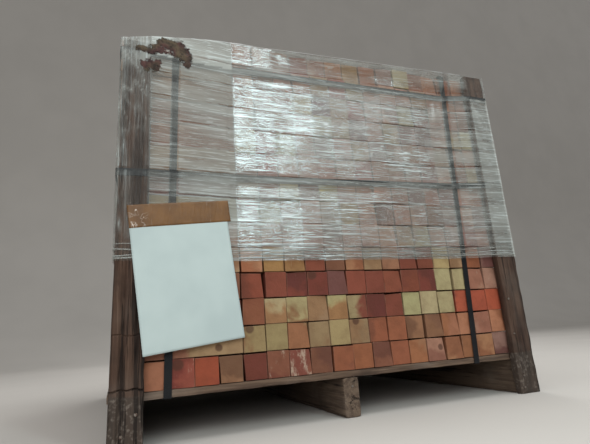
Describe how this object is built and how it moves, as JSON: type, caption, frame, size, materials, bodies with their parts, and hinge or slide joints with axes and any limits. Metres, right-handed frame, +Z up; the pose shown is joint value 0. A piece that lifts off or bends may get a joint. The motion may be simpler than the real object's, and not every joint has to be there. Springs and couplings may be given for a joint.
{
  "type": "loaded pallet of square clay bars",
  "caption": "Wooden pallet stacked with square fired clay bars between corner posts, strapped both ways, wrapped in stretch film, with a blank sheet taped on.",
  "frame": {"origin": "on the floor under the middle of the whole outline", "axes": "+X along the front to the right, -Y out of the front face, +Z up"},
  "size_m": [1.0648, 1.0786, 0.9163],
  "materials": {
    "fired_clay": "matte, unglazed",
    "deck_wood": "rough sawn, weathered",
    "post_wood": "rough sawn, dark with age",
    "strap_plastic": "embossed",
    "clear_film": "clear, wrinkled, several layers",
    "blank_paper": "plain",
    "brown_tape": "packing tape"
  },
  "bodies": {
    "root": {"course_01": "fired_clay", "course_02": "fired_clay", "course_03": "fired_clay", "course_04": "fired_clay", "course_05": "fired_clay", "course_06": "fired_clay", "course_07": "fired_clay", "course_08": "fired_clay", "course_09": "fired_clay", "course_10": "fired_clay", "course_11": "fired_clay", "course_12": "fired_clay", "course_13": "fired_clay", "course_14": "fired_clay", "deck_board_1": "deck_wood", "deck_board_2": "deck_wood", "deck_board_3": "deck_wood", "deck_board_4": "deck_wood", "deck_board_5": "deck_wood", "deck_board_6": "deck_wood", "deck_board_7": "deck_wood", "stringer_left": "deck_wood", "stringer_centre": "deck_wood", "stringer_right": "deck_wood", "post_front_left": "post_wood", "post_front_right": "post_wood", "post_back_left": "post_wood", "post_back_right": "post_wood", "strap_left": "strap_plastic", "strap_right": "strap_plastic", "strap_lower": "strap_plastic", "strap_upper": "strap_plastic", "stretch_film": "clear_film", "paper_sheet": "blank_paper", "paper_tape": "brown_tape"}
  },
  "joints": []
}
